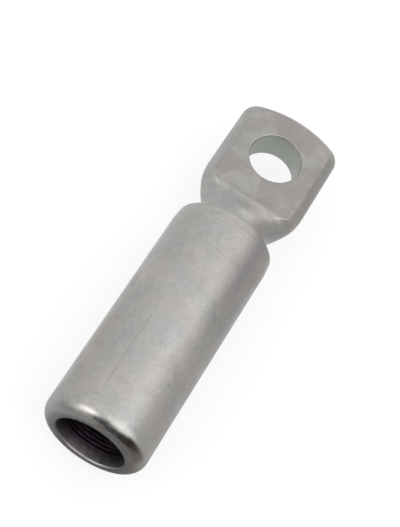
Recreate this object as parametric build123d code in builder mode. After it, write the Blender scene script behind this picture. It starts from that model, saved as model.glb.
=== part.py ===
"""An aluminium cable lug in one piece: a blind barrel, a neck and a flat pressed palm with a stud hole."""
import os
from math import asin, copysign, cos, degrees, pi, sin, sqrt

from build123d import *

# The barrel, turned from round bar and drilled blind from its mouth
barrel_diameter = 25.0
barrel_length = 60.5
bore_diameter = 16.5
bore_depth = 52.0
drill_point_depth = 5.0
lead_in_depth = 2.8
lead_in_width = 0.35
mouth_rounding = 3.2

# The barrel's end at the neck, drawn down a little where the palm was pressed
shoulder_taper_length = 2.9
shoulder_taper_drop = 0.25
shoulder_chamfer = 0.3

# The solid round neck, with a root fillet at the barrel
neck_diameter = 17.6
neck_root_fillet = 0.9
neck_round_length = 1.6

# The palm, pressed flat on both faces, its sides and tip left bulged by the press
palm_width = 26.2
palm_thickness = 8.4
palm_bulge = 2.4
palm_tip_arch_radius = 27.0
palm_corner_radius = 3.6
palm_tip_reach = 14.8

# The press's edge across the flats, the step it leaves, and the flare from the neck to the palm's width
flat_reach = 13.2
press_step = 1.3
flare_radius = 15.0
flare_blend = 4.0
flare_reach = 8.4

# The neck's oval sections: how their crown climbs from the press's edge, and how square they get there
crown_climb = (0.8, 1.1, -0.9)
oval_squareness = 0.35

# The stud hole, and how far its centre lies from the barrel's mouth
stud_hole_diameter = 13.0
stud_hole_chamfer = 0.5
mouth_to_stud = 85.1

# The lug lies along Y, with the stud hole's centre at the origin and the mouth at the far end of -Y
mouth_y = -mouth_to_stud
shoulder_y = mouth_y + barrel_length
ramp_y = shoulder_y + neck_round_length
barrel_radius = barrel_diameter / 2
bore_radius = bore_diameter / 2
neck_radius = neck_diameter / 2
hole_radius = stud_hole_diameter / 2
half_thickness = palm_thickness / 2
half_width = palm_width / 2
press_y = -flat_reach - press_step
ramp_stations = 8
flare_stations = 4
oval_points = 9


def across(y):
    """The plane square to the lug's length at y, with Z upwards."""
    return Plane(origin=(0, y, 0), x_dir=(-1, 0, 0), z_dir=(0, 1, 0))


def side_at(y):
    """Half the width at y: the neck's radius, a hollow blend, then a round flare up to the palm's sides."""
    both = flare_radius + flare_blend
    reach = sqrt(both**2 - (both - half_width + neck_radius) ** 2)
    back = min(max(-flare_reach - y, 0), reach)
    if back < reach * flare_radius / both:
        return half_width - flare_radius + sqrt(flare_radius**2 - back**2)
    return neck_radius + flare_blend - sqrt(flare_blend**2 - (reach - back) ** 2)


def crown_at(y):
    """Half the height at y: from the palm's half thickness at the press's edge to the neck's radius."""
    share = min(max((-flat_reach - y) / (-flat_reach - ramp_y), 0), 1)
    climb = sum(factor * share ** (power + 1) for power, factor in enumerate(crown_climb))
    return half_thickness + (neck_radius - half_thickness) * climb


def oval_point(turn, y, power):
    """The point at that turn on the oval across the neck at y, which is an ellipse where the power is 2."""
    x = side_at(y) * copysign(abs(cos(turn)) ** (2 / power), cos(turn))
    z = crown_at(y) * copysign(abs(sin(turn)) ** (2 / power), sin(turn))
    return Vector(x, z)


def oval_edge(start, end, y, power):
    """The smooth line along the oval at y from one turn to another."""
    points = [oval_point(turn, y, power) for turn in stations(start, end, oval_points)]
    first = oval_point(start + 0.001, y, power) - points[0]
    last = points[-1] - oval_point(end - 0.001, y, power)
    Spline(points, tangents=(first, last))


def section(y):
    """The outline across the lug at y: a circle or an oval on the neck, flat with bulged sides on the palm."""
    gone = (y - ramp_y) / (press_y - ramp_y)
    power = 2 + oval_squareness * gone**2
    press_seam = asin((half_thickness / crown_at(press_y)) ** (1 + oval_squareness / 2))
    seam = pi / 4 + (press_seam - pi / 4) * gone**2
    with BuildSketch(across(y)) as outline:
        with BuildLine():
            for half in (0, pi):
                if y >= -flat_reach:
                    flat, high = (half_width - palm_bulge) * cos(half), half_thickness * cos(half)
                    Line((flat, high), (-flat, high))
                    ThreePointArc((-flat, high), (-side_at(y) * cos(half), 0), (-flat, -high))
                elif y > ramp_y:
                    oval_edge(half + seam, half + pi - seam, y, power)
                    oval_edge(half + pi - seam, half + pi + seam, y, power)
                else:
                    CenterArc((0, 0), neck_radius, degrees(half + seam), degrees(pi - 2 * seam))
                    CenterArc((0, 0), neck_radius, degrees(half + pi - seam), degrees(2 * seam))
        make_face()
    return outline.sketch


def stations(start, end, count):
    """Places spread evenly from start to end."""
    return [start + (end - start) * step / (count - 1) for step in range(count)]


with BuildPart() as lug:
    # The palm's straight part, cut to an arched tip with the same bulged edge
    extrude(section(-flare_reach), amount=flare_reach + palm_tip_reach + palm_bulge)
    arch_y = palm_tip_reach - palm_tip_arch_radius
    with BuildSketch(Plane.YZ):
        with BuildLine():
            high = half_thickness
            edge = palm_tip_reach - palm_bulge
            Polyline((edge, -high), (arch_y, -high), (arch_y, high), (edge, high))
            ThreePointArc((edge, high), (palm_tip_reach, 0), (edge, -high))
        make_face()
    revolve(axis=Axis((0, arch_y, 0), (0, 0, 1)), mode=Mode.INTERSECT)
    corners = lug.edges().filter_by(lambda e: abs(e.center().Z) < 0.01 and e.center().Y > 0)
    fillet(corners, radius=palm_corner_radius)

    # The flare behind the palm's straight sides, the step at the press's edge, and the neck beyond it
    loft([section(y) for y in stations(-flat_reach, -flare_reach, flare_stations)])
    loft([section(press_y), section(-flat_reach)], ruled=True)
    loft([section(y) for y in stations(ramp_y, press_y, ramp_stations)])

    # The barrel and the round start of the neck, turned as one profile
    with BuildSketch(Plane.YZ):
        with BuildLine():
            end_radius = barrel_radius - shoulder_taper_drop
            taper_y = shoulder_y - shoulder_taper_length
            root = FilletPolyline(
                (ramp_y, neck_radius),
                (shoulder_y, neck_radius),
                (shoulder_y, end_radius - shoulder_chamfer),
                radius=neck_root_fillet,
            )
            Polyline(root @ 1, (shoulder_y - shoulder_chamfer, end_radius), (taper_y, barrel_radius))
            mouth = FilletPolyline(
                (taper_y, barrel_radius), (mouth_y, barrel_radius), (mouth_y, 0), radius=mouth_rounding
            )
            Polyline(mouth @ 1, (ramp_y, 0), root @ 0)
        make_face()
    revolve(axis=Axis.Y)

    # The blind bore, with a lead-in at the mouth and the drill's point at its end
    with BuildSketch(Plane.YZ):
        with BuildLine():
            bore_end = mouth_y + bore_depth
            Polyline(
                (mouth_y, 0),
                (mouth_y, bore_radius + lead_in_width),
                (mouth_y + lead_in_depth, bore_radius),
                (bore_end, bore_radius),
                (bore_end + drill_point_depth, 0),
                close=True,
            )
        make_face()
    revolve(axis=Axis.Y, mode=Mode.SUBTRACT)

    # The stud hole, chamfered at both faces
    Hole(radius=hole_radius)
    rims = lug.edges().filter_by(GeomType.CIRCLE).filter_by(lambda e: abs(e.radius - hole_radius) < 0.01)
    chamfer(rims, length=stud_hole_chamfer)

os.makedirs("parts", exist_ok=True)
lug.part.label = "cable_lug"
export_step(lug.part, "parts/cable_lug.step")
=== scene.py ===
"""The looks of the aluminium cable lug: its finely modelled body, its metal, the studio and the camera."""
from math import asin, atan2, cos, pi, radians, sin, sqrt

import bmesh
import bpy
import numpy as np
from mathutils import Matrix, Vector


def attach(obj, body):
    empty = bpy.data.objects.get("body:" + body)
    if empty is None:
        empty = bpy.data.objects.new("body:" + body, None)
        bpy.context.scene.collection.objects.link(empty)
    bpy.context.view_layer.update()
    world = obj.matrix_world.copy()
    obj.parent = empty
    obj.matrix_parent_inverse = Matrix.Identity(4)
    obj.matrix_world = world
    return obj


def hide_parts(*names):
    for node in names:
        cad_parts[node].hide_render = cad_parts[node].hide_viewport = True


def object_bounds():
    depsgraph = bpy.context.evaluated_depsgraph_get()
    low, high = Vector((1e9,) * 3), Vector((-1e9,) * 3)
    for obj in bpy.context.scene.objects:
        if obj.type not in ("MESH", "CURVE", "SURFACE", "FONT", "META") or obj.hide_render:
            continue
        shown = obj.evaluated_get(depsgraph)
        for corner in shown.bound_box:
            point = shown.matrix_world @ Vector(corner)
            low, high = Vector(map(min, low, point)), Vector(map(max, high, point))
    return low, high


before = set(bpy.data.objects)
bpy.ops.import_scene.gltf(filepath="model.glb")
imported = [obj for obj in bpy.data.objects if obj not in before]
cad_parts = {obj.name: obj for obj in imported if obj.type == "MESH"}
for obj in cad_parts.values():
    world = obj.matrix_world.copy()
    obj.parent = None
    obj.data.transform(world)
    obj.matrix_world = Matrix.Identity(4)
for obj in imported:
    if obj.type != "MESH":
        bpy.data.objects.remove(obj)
cad_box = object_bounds()
mm = 0.001

# The lug's sizes in millimetres, as they are in the solid
barrel_radius = 12.5
barrel_length = 60.5
bore_radius = 8.25
bore_depth = 52.0
drill_point_depth = 5.0
lead_in_depth = 2.8
lead_in_width = 0.35
mouth_rounding = 3.2
shoulder_taper_length = 2.9
shoulder_taper_drop = 0.25
shoulder_taper_blend = 1.0
shoulder_rounding = 0.35
neck_radius = 8.8
neck_root_fillet = 0.9
neck_round_length = 1.6
half_width = 13.1
half_thickness = 4.2
palm_bulge = 2.4
palm_tip_arch_radius = 27.0
palm_corner_radius = 3.6
palm_tip_reach = 14.8
flat_reach = 13.2
flare_radius = 15.0
flare_blend = 4.0
flare_reach = 8.4
press_step = 1.3
oval_squareness = 0.35
crown_climb = (0.8, 1.1, -0.9)
hole_radius = 6.5
hole_rounding = 0.3
mouth_y = -85.1
shoulder_y = mouth_y + barrel_length
ramp_y = shoulder_y + neck_round_length
press_y = -flat_reach - press_step
palm_flat = half_width - palm_bulge

# How finely the body is divided
face_steps = 56
side_steps = 22
edge_steps = 4
ramp_steps = 26
press_steps = 18
straight_steps = 50
corner_steps = 12
arch_steps = 44
rounding_points = 9
hole_rounding_points = 6
face_rings = 12
step_length = 0.5

# The drill's rings in the bore, which fade with depth
ring_pitch = 0.95
ring_height = 0.07
ring_reach = 15.0
steps_per_ring = 5
ring_fade = 0.7

# The bore's lip, left a little blunt between its lead-in and the mouth's face
lip_depth = 0.12
lip_inset = 0.09
lip_width = 0.1

# The room's bright and dark patches: azimuth, elevation, inner and outer radius in degrees, and their gain
room = (
    (80, 52, 12, 42, 0.98),
    (-44, 38, 8, 24, 1.7),
    (5, 25, 12, 34, -0.95),
    (170, 2, 8, 22, 0.75),
)

# The soft edge round the palm's flats, and how its corners by the neck run out along the sides
edge_softness = 0.35
flats_start = -11.9
corner_run = 2.6
corner_ease = 2.6

# How the neck's sides turn blunt before the press's edge, and how soft the crease there is
blunt_start = 3.2
crease_softness = 0.04
middle_softness = 0.3
crease_ends = 7.5
crease_fade = 3.0
flats_fade = 1.2
crease_smoothings = 14
calm_start = 4.0
calm_fade = 2.0

# The metal's tones
warm = (0.372, 0.346, 0.328, 1.0)
cool = (0.325, 0.335, 0.325, 1.0)
smudged = (0.285, 0.27, 0.265, 1.0)
rubbed = (0.40, 0.40, 0.385, 1.0)
light_grain = (0.44, 0.43, 0.415, 1.0)
pitted = (0.24, 0.23, 0.22, 1.0)
# Painted shade: the darker band where a dark reflection falls on the barrel's right side
painted_shade_grey = (0.30, 0.285, 0.31, 1.0)
flat_grey = (0.235, 0.218, 0.211, 1.0)
scored_dark = (0.22, 0.20, 0.185, 1.0)
# Painted shade: the dark inside of the bore, tinted violet
painted_bore_shade = (0.13, 0.10, 0.138, 1.0)
# Painted dark reflections on the mouth's rounding
painted_reflection_dark = (0.17, 0.15, 0.14, 1.0)
wall_grey = (0.30, 0.325, 0.297, 1.0)
white = (1.0, 1.0, 1.0, 1.0)

# Where single marks, and the painted dark reflection spot on the mouth, lie: along Y in millimetres, and
# round the barrel in degrees from its right side
seam_turn = 109.6
line_round_y = -34.6
first_ring_y = -26.9
second_ring_y = -25.2
dark_reflection_spot_turn = 88.0

# The cards that only reflections show: foot, facing, width, height, and their level low down and at the top
cards = {
    "front_card": ((52, -148), (-0.6, 0.8), 120, 62, 0.1, 0.1),
    "right_card": ((30, -5), (-1, 0), 70, 47, 0.68, 1.2),
    "left_card": ((-32, -5), (1, 0), 70, 40, 1.02, 1.08),
}

# The camera: its angles in degrees, its distance and target in millimetres, and its length in pixels
camera_azimuth = 4.09
camera_elevation = 59.57
camera_roll = 28.67
camera_distance = 315.3
camera_across = -0.763
camera_along = 1.536
camera_target = (0, -34.4, 0)
camera_length = 1374.0
frame_height = 527


def rounded(points, radii, steps):
    """The points of a line with its inner corners rounded."""
    line = [np.array(points[0], float)]
    for before, corner, after, radius in zip(points, points[1:], points[2:], radii):
        before, corner, after = (np.array(p, float) for p in (before, corner, after))
        if radius == 0:
            line.append(corner)
            continue
        to_before = (before - corner) / np.linalg.norm(before - corner)
        to_after = (after - corner) / np.linalg.norm(after - corner)
        half = np.arccos(np.clip(to_before @ to_after, -1, 1)) / 2
        middle = (to_before + to_after) / np.linalg.norm(to_before + to_after)
        centre = corner + middle * radius / np.sin(half)
        start = corner + to_before * radius / np.tan(half) - centre
        end = corner + to_after * radius / np.tan(half) - centre
        turn = atan2(start[0] * end[1] - start[1] * end[0], start @ end)
        for share in np.linspace(0, 1, steps):
            c, s = cos(turn * share), sin(turn * share)
            line.append(centre + (start[0] * c - start[1] * s, start[0] * s + start[1] * c))
    line.append(np.array(points[-1], float))
    return line


def divided(line, longest):
    """The line with its long stretches cut into even steps."""
    fine = [line[0]]
    for start, end in zip(line, line[1:]):
        count = max(1, int(np.ceil(np.linalg.norm(end - start) / longest)))
        fine += [start + (end - start) * k / count for k in range(1, count + 1)]
    return np.array(fine)


def side_at(y):
    """Half the width at y: the neck's radius, a hollow blend, then a round flare up to the palm's sides."""
    both = flare_radius + flare_blend
    reach = sqrt(both**2 - (both - half_width + neck_radius) ** 2)
    back = min(max(-flare_reach - y, 0), reach)
    if back < reach * flare_radius / both:
        return half_width - flare_radius + sqrt(flare_radius**2 - back**2)
    return neck_radius + flare_blend - sqrt(flare_blend**2 - (reach - back) ** 2)


def crown_at(y):
    """Half the height of the neck at y, which runs on below the palm's flats."""
    share = (-flat_reach - y) / (-flat_reach - ramp_y)
    climb = sum(factor * share ** (power + 1) for power, factor in enumerate(crown_climb))
    return half_thickness + (neck_radius - half_thickness) * climb


def oval(y):
    """The neck's oval at y: its power, which is 2 for an ellipse, and the turn of the seam by its side."""
    gone = min((y - ramp_y) / (press_y - ramp_y), 1)
    power = 2 + oval_squareness * gone**2
    press_seam = asin((half_thickness / crown_at(press_y)) ** (1 + oval_squareness / 2))
    return power, pi / 4 + (press_seam - pi / 4) * gone**2


def oval_points(turns, y):
    """Points at those turns on the neck's oval at y."""
    power, _ = oval(y)
    x, z = np.cos(turns), np.sin(turns)
    return np.column_stack((
        side_at(y) * np.sign(x) * abs(x) ** (2 / power),
        crown_at(y) * np.sign(z) * abs(z) ** (2 / power),
    ))


def edge_profile(sag):
    """The palm's side from flat to flat, as steps out and up from the flats' edge, with both edges soft."""
    radius = (half_thickness**2 + sag**2) / (2 * sag)
    turn = asin(half_thickness / radius) - edge_softness / radius
    turns = np.linspace(turn, -turn, side_steps + 1)
    bulge = np.column_stack((sag - radius + radius * np.cos(turns), radius * np.sin(turns)))
    share = np.linspace(0, 1, edge_steps + 1)[:-1, None]
    corner = np.array((0, half_thickness))
    start = np.array((-edge_softness, half_thickness))
    upper = (1 - share) ** 2 * start + 2 * share * (1 - share) * corner + share**2 * bulge[0]
    return np.concatenate((upper, bulge, upper[::-1] * (1, -1)))


def spread(line, shares):
    """The points at those shares of a line's length."""
    along = np.concatenate(((0,), np.cumsum(np.linalg.norm(np.diff(line, axis=0), axis=1))))
    return np.column_stack([np.interp(shares * along[-1], along, part) for part in line.T])


def length_shares(line):
    """How far along a line each of its points lies, from 0 to 1."""
    along = np.concatenate(((0,), np.cumsum(np.linalg.norm(np.diff(line, axis=0), axis=1))))
    return along / along[-1]


side_shares = length_shares(edge_profile(palm_bulge))
dense = np.linspace(1, -1, 401)


def ring_of(top, side):
    """The closed ring made of a top line from right to left and a right side from top to bottom, mirrored."""
    return np.concatenate((top[:-1], side[:-1] * (-1, 1), top[::-1][:-1] * (1, -1), side[::-1][:-1]))


def section(y):
    """The ring of points across the lug at y: the neck's oval, with the palm's flats over it past press_y."""
    power, seam = oval(y)
    near = max(y, press_y)
    gone = min((near - press_y) / corner_run, 1)
    top = oval_points(np.linspace(seam, pi - seam, face_steps + 1), min(y, press_y))
    knee = top[0, 0]
    if y > press_y:
        knee += (palm_flat - knee) * (1 - (1 - gone) ** corner_ease)
    sag = side_at(y) - knee
    held = min(sag, palm_bulge)
    blunt = edge_profile(held) * (sag / held, top[0, 1] / half_thickness) + (knee, 0)
    free = spread(oval_points(dense * seam, min(y, press_y)), side_shares)
    free = (free - (top[0, 0], 0)) * (sag / (free[:, 0].max() - top[0, 0]), 1) + (knee, 0)
    share = min(max((y - press_y + blunt_start) / (press_step + blunt_start), 0), 1)
    share = share * share * (3 - 2 * share)
    side = free + (blunt - free) * share
    if y > press_y:
        across = top[:, 0] / top[0, 0] * side[0, 0]
        neck = crown_at(y) * (1 - (abs(across) / side_at(y)) ** power) ** (1 / power) - half_thickness
        middle = np.clip((crease_ends - abs(across)) / crease_fade, 0, 1)
        middle = middle * min((flats_start - y) / flats_fade, 1)
        soft = crease_softness + middle_softness * middle
        lift = (neck + np.sqrt(neck**2 + soft**2)) / 2
        lift[0] = lift[-1] = 0
        top = np.column_stack((across, half_thickness + lift))
    else:
        top[:, 0] *= side[0, 0] / top[0, 0]
    return ring_of(top, side)


def bore_line():
    """The bore's line from its drilled point out to the mouth, with the drill's rings near the mouth."""
    start = mouth_y + lead_in_depth
    count = int(ring_reach / ring_pitch) * steps_per_ring
    end = mouth_y + bore_depth
    line = [np.array((end + drill_point_depth, 0.0)), np.array((end, bore_radius))]
    for k in range(count, 0, -1):
        depth = ring_reach * k / count
        fade = (1 - depth / ring_reach) ** ring_fade
        wave = 0.5 - 0.5 * cos(2 * pi * depth / ring_pitch)
        line.append(np.array((start + depth, bore_radius - ring_height * fade * wave**2)))
    line.append(np.array((start, bore_radius)))
    line.append(np.array((mouth_y + lip_depth, bore_radius + lead_in_width - lip_inset)))
    return line


def turned():
    """The barrel, bore and neck root as rings of points round the lug's axis."""
    outer = rounded(
        [
            (mouth_y, bore_radius + lead_in_width + lip_width),
            (mouth_y, barrel_radius),
            (shoulder_y - shoulder_taper_length, barrel_radius),
            (shoulder_y, barrel_radius - shoulder_taper_drop),
            (shoulder_y, neck_radius),
            (ramp_y, neck_radius),
        ],
        (mouth_rounding, shoulder_taper_blend, shoulder_rounding, neck_root_fillet),
        rounding_points,
    )
    line = divided(bore_line() + outer, step_length)
    ring = section(ramp_y) / neck_radius
    y, radius = line[:, :1], line[:, 1:]
    return np.stack((radius * ring[:, 0], y + 0 * ring[:, 0], radius * ring[:, 1]), axis=-1)


def ramp():
    """The neck's rings of points from the barrel's side up to the press's edge and on to the whole flats."""
    places = np.concatenate((
        np.linspace(ramp_y, press_y, ramp_steps + 1)[:-1],
        np.linspace(press_y, flats_start, press_steps + 1),
    ))
    rows = []
    for y in places:
        ring = section(y)
        rows.append(np.column_stack((ring[:, 0], np.full(len(ring), y), ring[:, 1])))
    rows = np.array(rows)
    calm = np.clip((places - press_y + calm_start) / calm_fade, 0, 1)[1:-1, None, None] / 4
    for _ in range(crease_smoothings):
        rows[1:-1] += (rows[:-2] + rows[2:] - 2 * rows[1:-1]) * calm
    return rows


def palm_side():
    """The palm's bulged side and tip in rows from the upper flat to the lower, from right round to left."""
    arch_y = palm_tip_reach - palm_tip_arch_radius
    rows = []
    full = edge_profile(palm_bulge)
    for k, (out, up) in enumerate(full):
        inset = palm_bulge - out
        corner_x = half_width - inset - palm_corner_radius
        corner_y = arch_y + sqrt((palm_tip_arch_radius - inset - palm_corner_radius) ** 2 - corner_x**2)
        lean = atan2(corner_y - arch_y, corner_x)
        points = []
        for y in np.linspace(flats_start, corner_y, straight_steps + 1):
            own = edge_profile(side_at(y) - palm_flat)[k]
            points.append((palm_flat + own[0], y, own[1]))
        for angle in np.linspace(0, lean, corner_steps + 1)[1:]:
            points.append((
                corner_x + palm_corner_radius * cos(angle), corner_y + palm_corner_radius * sin(angle), up,
            ))
        for angle in np.linspace(lean, pi / 2, arch_steps // 2 + 1)[1:]:
            radius = palm_tip_arch_radius - inset
            points.append((radius * cos(angle), arch_y + radius * sin(angle), up))
        right = np.array(points)
        rows.append(np.concatenate((right, right[-2::-1] * (-1, 1, 1))))
    return np.array(rows)


def palm_face(way):
    """A flat of the palm, as rows of points from the stud hole's rounding out to the edge."""
    edge = palm_side()[0, :, :2]
    back = section(flats_start)[: face_steps + 1, 0][::-1]
    back = np.column_stack((back, np.full(len(back), flats_start)))
    edge = np.concatenate((edge, back[1:-1]))
    length = np.linalg.norm(edge, axis=1, keepdims=True)
    rim = edge / length * (hole_radius + hole_rounding)
    rows = []
    for share in np.linspace(0, 1, face_rings):
        plan = rim + (edge - rim) * share
        rows.append(np.column_stack((plan, np.full(len(plan), way * half_thickness))))
    return np.array(rows)


def hole_wall():
    """The stud hole's wall with its two roundings, as rings of points from the upper face to the lower."""
    direction = palm_face(1)[0, :, :2] / (hole_radius + hole_rounding)
    middle = half_thickness - hole_rounding
    line = [
        (hole_radius + hole_rounding * (1 - sin(a)), middle + hole_rounding * cos(a))
        for a in np.linspace(0, pi / 2, hole_rounding_points)
    ]
    line = divided([np.array(p) for p in line + [(r, -z) for r, z in reversed(line)]], step_length)
    return np.array([np.column_stack((direction * r, np.full(len(direction), z))) for r, z in line])


def add_grid(body, rows, closed=True):
    """Adds a grid of points to the body as quads, each row closed into a ring or left open."""
    made = [[body.verts.new(point * mm) for point in row] for row in rows]
    width = len(made[0])
    for lower, upper in zip(made, made[1:]):
        for k in range(width if closed else width - 1):
            after = (k + 1) % width
            body.faces.new((lower[k], lower[after], upper[after], upper[k]))


def build_body():
    """The whole lug as one closed mesh."""
    body = bmesh.new()
    add_grid(body, turned())
    add_grid(body, ramp())
    add_grid(body, palm_side(), closed=False)
    add_grid(body, palm_face(1))
    add_grid(body, palm_face(-1))
    add_grid(body, hole_wall())
    bmesh.ops.remove_doubles(body, verts=body.verts, dist=0.002 * mm)
    bmesh.ops.dissolve_degenerate(body, dist=0.001 * mm, edges=body.edges)
    bmesh.ops.recalc_face_normals(body, faces=body.faces)
    mesh = bpy.data.meshes.new("lug_body")
    body.to_mesh(mesh)
    body.free()
    mesh.shade_smooth()
    piece = bpy.data.objects.new("lug_body", mesh)
    bpy.context.scene.collection.objects.link(piece)
    return piece


class Nodes:
    """A short way to write a material's nodes."""

    def __init__(self, tree):
        self.tree = tree

    def add(self, kind, inputs=(), **settings):
        node = self.tree.nodes.new(kind)
        for name, value in settings.items():
            setattr(node, name, value)
        for name, value in dict(inputs).items():
            if isinstance(value, bpy.types.NodeSocket):
                self.tree.links.new(value, node.inputs[name])
            else:
                node.inputs[name].default_value = value
        return node

    def math(self, operation, a, b=0.0, c=0.0):
        return self.add("ShaderNodeMath", {0: a, 1: b, 2: c}, operation=operation).outputs[0]

    def between(self, value, start, end, low=0.0, high=1.0):
        inputs = {"Value": value, "From Min": start, "From Max": end, "To Min": low, "To Max": high}
        return self.add("ShaderNodeMapRange", inputs, interpolation_type="SMOOTHSTEP").outputs[0]

    def noise(self, where, scale, detail=3.0, roughness=0.5, distortion=0.0):
        inputs = {"Vector": where, "Scale": scale, "Detail": detail, "Roughness": roughness}
        return self.add("ShaderNodeTexNoise", {**inputs, "Distortion": distortion}).outputs["Fac"]

    def stripes(self, along, scale):
        inputs = {"W": along, "Scale": scale, "Detail": 2.0}
        return self.add("ShaderNodeTexNoise", inputs, noise_dimensions="1D").outputs["Fac"]

    def product(self, first, *others):
        for other in others:
            first = self.math("MULTIPLY", first, other)
        return first

    def fading(self, value, start, end):
        return self.between(value, start, end, 1.0, 0.0)

    def band(self, value, rise, fall):
        return self.product(self.between(value, *rise), self.fading(value, *fall))

    def line_at(self, value, place, inner, outer, strength=1.0):
        away = self.math("ABSOLUTE", self.math("SUBTRACT", value, place))
        return self.between(away, inner, outer, strength, 0.0)

    def distance(self, a, b):
        return self.math("SQRT", self.math("MULTIPLY_ADD", a, a, self.math("MULTIPLY", b, b)))

    def mix(self, share, a, b):
        node = self.add("ShaderNodeMix", data_type="RGBA")
        for socket, value in zip((node.inputs[0], node.inputs[6], node.inputs[7]), (share, a, b)):
            if isinstance(value, bpy.types.NodeSocket):
                self.tree.links.new(value, socket)
            else:
                socket.default_value = value
        return node.outputs[2]


def aluminium():
    """Pressed and turned aluminium, left as it came from the press, with a satin, faintly mottled skin."""
    material = bpy.data.materials.new("aluminium")
    material.use_nodes = True
    n = Nodes(material.node_tree)
    shader = material.node_tree.nodes["Principled BSDF"]
    shader.inputs["Metallic"].default_value = 1.0
    place = n.add("ShaderNodeTexCoord").outputs["Object"]
    scaled = n.add("ShaderNodeVectorMath", {0: place, "Scale": 1 / mm}, operation="SCALE").outputs[0]
    x, y, z = n.add("ShaderNodeSeparateXYZ", {0: scaled}).outputs
    turn = n.math("MULTIPLY", n.math("ARCTAN2", z, x), 180 / pi)
    reach = n.distance(x, z)
    outside = n.between(reach, 10.2, 10.9)
    barrel = n.product(outside, n.fading(y, shoulder_y - 0.4, shoulder_y))
    inside = n.product(n.fading(reach, 8.35, 8.75), n.fading(y, -34.0, -33.0))

    # Mottled colour, warm and cool by turns, with smudges, light grain and pits
    patches = n.noise(place, 90.0, 4.0, 0.6)
    smudges = n.noise(place, 210.0, 4.0, 0.62, 0.6)
    fine = n.noise(place, 900.0, 3.0, 0.6)
    pits = n.noise(place, 1800.0, 3.0, 0.65)
    tone = n.mix(n.between(patches, 0.38, 0.62), cool, warm)
    tone = n.mix(n.between(smudges, 0.50, 0.72, 0.0, 0.55), tone, smudged)
    tone = n.mix(n.between(smudges, 0.30, 0.46, 0.4, 0.0), tone, rubbed)
    tone = n.mix(n.between(fine, 0.35, 0.7, 0.0, 0.36), tone, light_grain)
    tone = n.mix(n.between(pits, 0.5, 0.7, 0.0, 0.42), tone, pitted)

    # A greyer, faintly violet band along the barrel's right side: painted shade standing in for a dark
    # reflection there
    side = n.product(n.band(turn, (36.0, 46.0), (50.0, 60.0)), barrel, n.between(y, -48.0, -36.0))
    tone = n.mix(n.math("MULTIPLY", side, 0.6), tone, painted_shade_grey)

    # The flats a little darker and warmer
    flat = n.product(n.between(n.math("ABSOLUTE", z), 4.0, 4.15), n.between(y, -14.2, -13.0))
    clouds = n.noise(place, 170.0, 5.0, 0.6, 0.4)
    tone = n.mix(n.product(flat, n.between(clouds, 0.36, 0.6, 0.3, 0.72)), tone, flat_grey)

    # A thin seam along the barrel and a faint line round it
    stray = n.noise(place, 160.0, 3.0, 0.6)
    lean = n.math("MULTIPLY_ADD", stray, 5.0, turn)
    line_y = n.math("MULTIPLY_ADD", stray, 1.6, y)
    seam = n.product(n.line_at(lean, seam_turn, 0.2, 1.9), n.band(y, (-80.0, -77.0), (-60.0, -56.0)))
    seam = n.product(seam, n.between(fine, 0.35, 0.6, 0.5, 1.0))
    around = n.product(n.line_at(line_y, line_round_y, 0.08, 0.4), n.between(turn, 58.0, 66.0))
    around = n.product(around, n.between(fine, 0.35, 0.55))
    scored = n.product(n.math("MAXIMUM", seam, n.math("MULTIPLY", around, 0.5)), barrel)
    tone = n.mix(n.math("MULTIPLY", scored, 0.38), tone, scored_dark)

    # Painted shade inside the bore: dark violet, growing darker with depth from the mouth
    bore_shade_share = n.product(inside, n.between(y, mouth_y + 0.5, mouth_y + 3.6, 0.3, 0.94))
    tone = n.mix(bore_shade_share, tone, painted_bore_shade)

    # Painted dark reflections on the mouth's rounding: a band low on its right, a spot at its top and a thin
    # line between
    front = n.fading(y, -83.2, -82.5)
    band = n.product(n.band(reach, (9.8, 11.2), (12.0, 12.45)), n.band(turn, (10.0, 26.0), (54.0, 74.0)))
    spot = n.product(n.band(reach, (10.9, 11.6), (11.9, 12.3)), n.line_at(turn, dark_reflection_spot_turn, 1.5, 7.0, 0.62))
    thin = n.product(n.band(reach, (9.6, 10.2), (10.6, 11.3)), n.between(turn, 30.0, 50.0))
    thin = n.product(thin, n.between(turn, 84.0, 100.0, 0.6, 0.0))
    painted_dark_reflections = n.product(n.math("MAXIMUM", band, n.math("MAXIMUM", spot, thin)), front)
    tone = n.mix(n.product(painted_dark_reflections, n.between(smudges, 0.25, 0.5, 0.65, 0.92)), tone, painted_reflection_dark)

    # The stud hole's wall
    wall = n.fading(n.distance(x, y), hole_radius + 0.1, hole_radius + 0.4)
    tone = n.mix(n.math("MULTIPLY", wall, 0.8), tone, wall_grey)
    material.node_tree.links.new(tone, shader.inputs["Base Color"])

    # Two turned rings at the barrel's shoulder, and fine specks all over the barrel
    first_ring = n.line_at(line_y, first_ring_y, 0.1, 0.55)
    second_ring = n.line_at(line_y, second_ring_y, 0.05, 0.35, 0.6)
    shoulder_rings = n.product(n.math("MAXIMUM", first_ring, second_ring), barrel)
    specks = n.product(n.between(n.noise(place, 1000.0, 3.0, 0.65), 0.47, 0.66), barrel)

    # Satin, rougher in some patches than others, smoother at the mouth, on the specks and on the rings
    rough = n.math("ADD", n.between(patches, 0.3, 0.7, 0.30, 0.38), n.between(fine, 0.3, 0.7, -0.03, 0.05))
    rough = n.math("ADD", rough, n.between(smudges, 0.35, 0.65, -0.03, 0.05))
    rough = n.math("MULTIPLY_ADD", n.product(front, outside), -0.09, rough)
    rough = n.math("MULTIPLY_ADD", specks, -0.05, rough)
    rough = n.math("MULTIPLY_ADD", shoulder_rings, -0.08, rough)
    material.node_tree.links.new(rough, shader.inputs["Roughness"])

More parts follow.
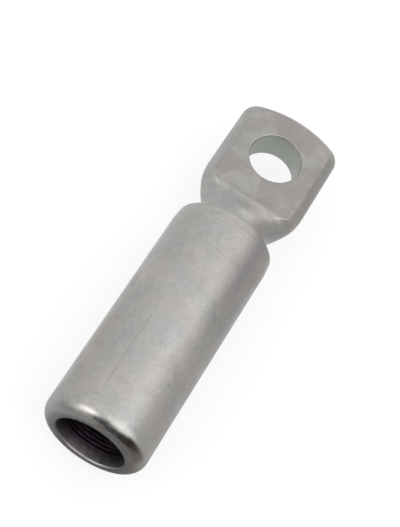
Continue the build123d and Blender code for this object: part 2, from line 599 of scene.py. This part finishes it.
    # A fine uneven skin, coarser on the barrel, with turning marks and the marks above
    grains = n.noise(place, 1300.0, 2.0, 0.5)
    lumps = n.noise(place, 330.0, 4.0, 0.6)
    coarser = n.math("MULTIPLY_ADD", barrel, 1.3, 1.0)
    slanted = n.math("MULTIPLY_ADD", turn, 0.06, n.math("MULTIPLY", y, 3.2))
    marks = n.product(n.stripes(slanted, 1.0), barrel)
    rings = n.product(n.stripes(y, 2.2), barrel, n.between(y, -31.0, -27.0))
    height = n.math("ADD", n.math("MULTIPLY", grains, 0.5), n.product(lumps, coarser))
    raised = ((marks, 0.25), (rings, 0.9), (scored, -0.5), (specks, 0.35), (shoulder_rings, -1.2))
    for mask, strength in raised:
        height = n.math("MULTIPLY_ADD", mask, strength, height)
    bump = n.add("ShaderNodeBump", {"Height": height, "Strength": 0.35, "Distance": 0.06 * mm})
    material.node_tree.links.new(bump.outputs[0], shader.inputs["Normal"])
    return material


def aim(azimuth, elevation):
    """The direction at an azimuth, from the mouth's side to the right, and an elevation, in degrees."""
    a, e = radians(azimuth), radians(elevation)
    return Vector((sin(a) * cos(e), -cos(a) * cos(e), sin(e)))


def floor_material():
    """A white sheet that keeps a faint shadow; reflections see it greyer right and ahead, and darker by the
    mouth as a painted contact shadow.
    """
    material = bpy.data.materials.new("floor_white")
    material.use_nodes = True
    tree = material.node_tree
    tree.nodes.remove(tree.nodes["Principled BSDF"])
    n = Nodes(tree)
    lit = n.add("ShaderNodeBsdfDiffuse", {"Color": (0.85, 0.85, 0.85, 1.0)})
    glow = n.add("ShaderNodeEmission", {"Color": white, "Strength": 1.0})
    sheet = n.add("ShaderNodeMixShader", {0: 0.78, 1: lit.outputs[0], 2: glow.outputs[0]})
    place = n.add("ShaderNodeTexCoord").outputs["Object"]
    axes = n.add("ShaderNodeSeparateXYZ", {0: place})
    right = n.between(axes.outputs[0], -0.015, 0.02, 0.92, 0.78)
    front = n.between(axes.outputs[1], -0.13, -0.08, 0.6, 1.0)
    # A painted contact shadow round the mouth's foot, which only reflections see
    painted_shadow_by_mouth = {0: place, 1: (0.002, -0.09, cad_box[0].z)}
    away = n.add("ShaderNodeVectorMath", painted_shadow_by_mouth, operation="DISTANCE").outputs["Value"]
    level = n.product(right, front, n.between(away, 0.006, 0.03, 0.3, 1.0))
    grey = n.add("ShaderNodeEmission", {"Color": white, "Strength": level})
    seen = n.add("ShaderNodeLightPath").outputs["Is Camera Ray"]
    mixed = n.add("ShaderNodeMixShader", {0: seen, 1: grey.outputs[0], 2: sheet.outputs[0]})
    tree.links.new(mixed.outputs[0], tree.nodes["Material Output"].inputs["Surface"])
    return material


def add_floor():
    """A large flat floor under the barrel."""
    reach = 4.0
    height = cad_box[0].z
    plan = ((-reach, -reach), (reach, -reach), (reach, reach), (-reach, reach))
    corners = [(x, y, height) for x, y in plan]
    mesh = bpy.data.meshes.new("floor")
    mesh.from_pydata(corners, [], [(0, 1, 2, 3)])
    floor = bpy.data.objects.new("floor", mesh)
    floor.data.materials.append(floor_material())
    bpy.context.scene.collection.objects.link(floor)


def add_world():
    """The studio's light: an even room, brighter overhead, with soft patches, and white to the camera."""
    world = bpy.data.worlds.new("studio")
    world.use_nodes = True
    bpy.context.scene.world = world
    n = Nodes(world.node_tree)
    where = n.add("ShaderNodeTexCoord").outputs["Generated"]
    axes = n.add("ShaderNodeSeparateXYZ", {0: where})
    x, z = axes.outputs[0], axes.outputs[2]
    level = n.between(z, 0.3, 0.9, 1.0, 1.3)
    low_right = n.product(n.between(x, 0.1, 0.7), n.fading(z, 0.15, 0.55))
    level = n.math("MULTIPLY_ADD", low_right, -0.22, level)
    for azimuth, elevation, inner, outer, gain in room:
        towards = {0: where, 1: aim(azimuth, elevation)}
        facing = n.add("ShaderNodeVectorMath", towards, operation="DOT_PRODUCT")
        patch = n.between(facing.outputs["Value"], cos(radians(outer)), cos(radians(inner)))
        level = n.math("MULTIPLY_ADD", patch, gain, level)
    level = n.math("MAXIMUM", level, 0.08)
    seen = n.add("ShaderNodeLightPath").outputs["Is Camera Ray"]
    strength = n.math("MULTIPLY_ADD", seen, n.math("SUBTRACT", 1.0, level), level)
    back = world.node_tree.nodes["Background"]
    back.inputs["Color"].default_value = white
    world.node_tree.links.new(strength, back.inputs["Strength"])


def add_card(name, foot, facing, width, height, level, top_level):
    """An upright grey card with its foot's middle there, in millimetres, which only reflections show."""
    foot = Vector((foot[0], foot[1], cad_box[0].z / mm)) * mm
    across = Vector((-facing[1], facing[0], 0)).normalized() * width * mm / 2
    up = Vector((0, 0, height * mm))
    mesh = bpy.data.meshes.new(name)
    corners = [foot - across, foot + across, foot + across + up, foot - across + up]
    mesh.from_pydata(corners, [], [(0, 1, 2, 3)])
    material = bpy.data.materials.new(name)
    material.use_nodes = True
    tree = material.node_tree
    tree.nodes.remove(tree.nodes["Principled BSDF"])
    n = Nodes(tree)
    axes = n.add("ShaderNodeSeparateXYZ", {0: n.add("ShaderNodeTexCoord").outputs["Object"]})
    shade = n.between(axes.outputs[2], foot.z + up.z * 0.6, foot.z + up.z, level, top_level)
    glow = n.add("ShaderNodeEmission", {"Color": white, "Strength": shade})
    tree.links.new(glow.outputs[0], tree.nodes["Material Output"].inputs["Surface"])
    mesh.materials.append(material)
    card = bpy.data.objects.new(name, mesh)
    card.visible_camera = False
    card.visible_shadow = False
    card.visible_diffuse = False
    bpy.context.scene.collection.objects.link(card)


def add_camera():
    """The camera, looking steeply down along the lug from beyond its mouth, rolled as the photograph is."""
    azimuth, roll = radians(camera_azimuth), radians(camera_roll)
    back = aim(camera_azimuth, camera_elevation)
    level = Vector((cos(azimuth), sin(azimuth), 0))
    upright = back.cross(level)
    right = cos(roll) * level + sin(roll) * upright
    up = cos(roll) * upright - sin(roll) * level
    centre = Vector(camera_target) + camera_across * right + camera_along * up + camera_distance * back
    data = bpy.data.cameras.new("camera")
    data.sensor_width = 36.0
    data.lens = camera_length * data.sensor_width / frame_height
    data.clip_start = 0.01
    data.clip_end = 20.0
    camera = bpy.data.objects.new("camera", data)
    turn = Matrix((right, up, back)).transposed().to_4x4()
    camera.matrix_world = Matrix.Translation(centre * mm) @ turn
    bpy.context.scene.collection.objects.link(camera)
    bpy.context.scene.camera = camera


lug = build_body()
lug.data.materials.append(aluminium())
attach(lug, "root")
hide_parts("cable_lug")

add_floor()
add_world()
for name, values in cards.items():
    add_card(name, *values)
add_camera()
bpy.context.scene.view_settings.view_transform = "Standard"
